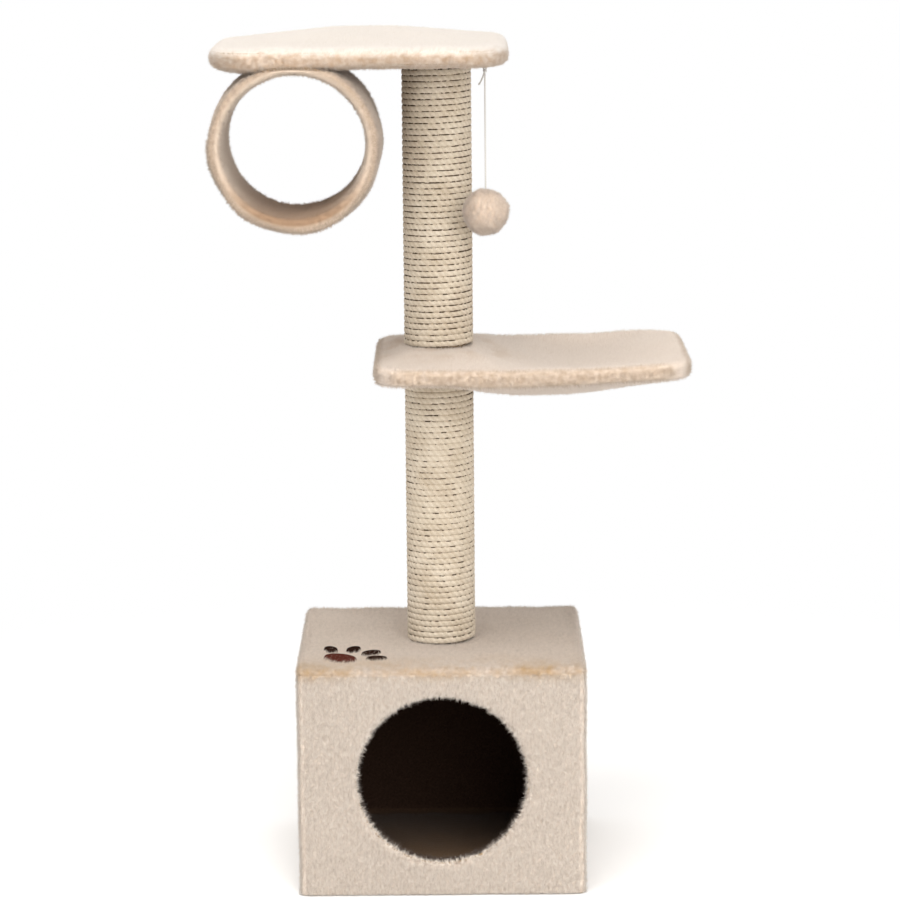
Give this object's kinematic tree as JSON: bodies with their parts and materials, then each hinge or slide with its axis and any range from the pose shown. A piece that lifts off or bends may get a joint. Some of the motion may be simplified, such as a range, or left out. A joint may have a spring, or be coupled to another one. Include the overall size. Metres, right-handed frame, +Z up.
{
  "type": "cat tree",
  "caption": "Free-standing cat tree: plush cave, sisal scratching posts, side hammock, top platform with a hanging tunnel and a ball that swings on a cord.",
  "frame": {"origin": "middle of the cave's underside on the floor, below the axis of the posts", "axes": "+X towards the hammock, +Y from the front to the back, +Z up"},
  "size_m": [0.5915, 0.3355, 1.059],
  "materials": {
    "plush": "short beige plush with a soft pile",
    "dark_lining": "dark brown lining cloth",
    "tunnel_lining": "short beige plush",
    "felt": "brown felt",
    "board": "raw particle board",
    "paper_tube": "wound paper tube",
    "sisal": "twisted natural sisal rope",
    "steel": "zinc-plated steel",
    "frame_steel": "painted steel wire",
    "cord": "pale twisted cord",
    "foam": "foam ball"
  },
  "bodies": {
    "tree": {"base_bolt": "steel", "base_washer": "steel", "cave_back_wall": "board", "cave_floor_board": "board", "cave_front_wall": "board", "cave_left_wall": "board", "cave_lining": "dark_lining", "cave_panel_screws": "steel", "cave_paw_patch": "felt", "cave_right_wall": "board", "cave_side_cover": "plush", "cave_top_board": "board", "cave_top_cover": "plush", "hammock_board": "board", "hammock_board_cover": "plush", "hammock_clip_screws": "steel", "hammock_frame": "frame_steel", "hammock_frame_clips": "steel", "hammock_sling": "plush", "joining_stud": "steel", "lower_post_foot_plug": "board", "lower_post_head_plug": "board", "lower_post_rope_high": "sisal", "lower_post_rope_low": "sisal", "lower_post_tube": "paper_tube", "platform_board": "board", "platform_cover": "plush", "platform_post_nut": "steel", "platform_tunnel_nuts": "steel", "post_inserts": "steel", "top_stud": "steel", "toy_staple": "steel", "tunnel_bolts": "steel", "tunnel_cover": "plush", "tunnel_lining": "tunnel_lining", "tunnel_tube": "paper_tube", "tunnel_washers": "steel", "upper_post_foot_plug": "board", "upper_post_head_plug": "board", "upper_post_rope_high": "sisal", "upper_post_rope_low": "sisal", "upper_post_tube": "paper_tube"},
    "toy_loop": {"toy_knot": "cord"},
    "toy": {"toy_cord": "cord", "toy_ball_core": "foam", "toy_ball_cover": "plush"}
  },
  "joints": [
    {"name": "toy_swing_out", "type": "hinge", "parent": "tree", "child": "toy_loop", "pos_m": [0.06, -0.08, 1.0292], "axis": [-0.8, -0.6, 0], "range_deg": [-8, 65]},
    {"name": "toy_swing_round", "type": "hinge", "parent": "toy_loop", "child": "toy", "pos_m": [0.06, -0.08, 1.025], "axis": [0.6, -0.8, 0], "range_deg": [-35, 60]}
  ]
}
